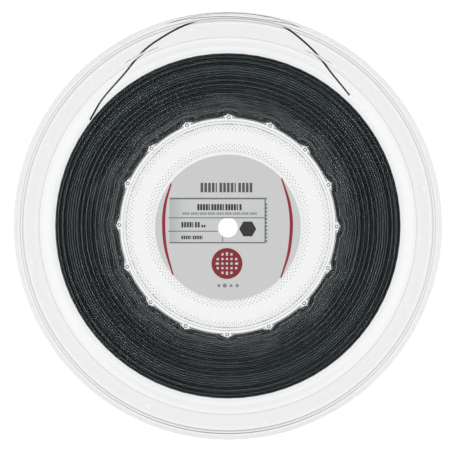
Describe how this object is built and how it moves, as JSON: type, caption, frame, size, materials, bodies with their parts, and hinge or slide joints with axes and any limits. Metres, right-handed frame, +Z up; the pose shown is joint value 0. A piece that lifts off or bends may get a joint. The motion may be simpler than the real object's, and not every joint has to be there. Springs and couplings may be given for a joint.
{
  "type": "string reel",
  "caption": "Clear two-part moulded reel, its drum wound with black racket string, with a loose string end and a round paper label on its hub.",
  "frame": {"origin": "centre of the reel: on its axis, in the plane where the two halves meet", "axes": "+Y along the reel's axis, out of the rear half; -Y out of the labelled front half; +Z up, towards the loose string end; +X to the right as seen from the front"},
  "size_m": [0.274, 0.026, 0.274],
  "materials": {
    "clear_plastic": "clear, glossy moulded polystyrene",
    "black_string": "black polyester monofilament with a soft sheen",
    "label_paper": "smooth printed paper, pale grey"
  },
  "bodies": {
    "root": {"front_half": "clear_plastic", "rear_half": "clear_plastic", "string_winding": "black_string", "string_tail": "black_string", "front_label": "label_paper"}
  },
  "joints": []
}
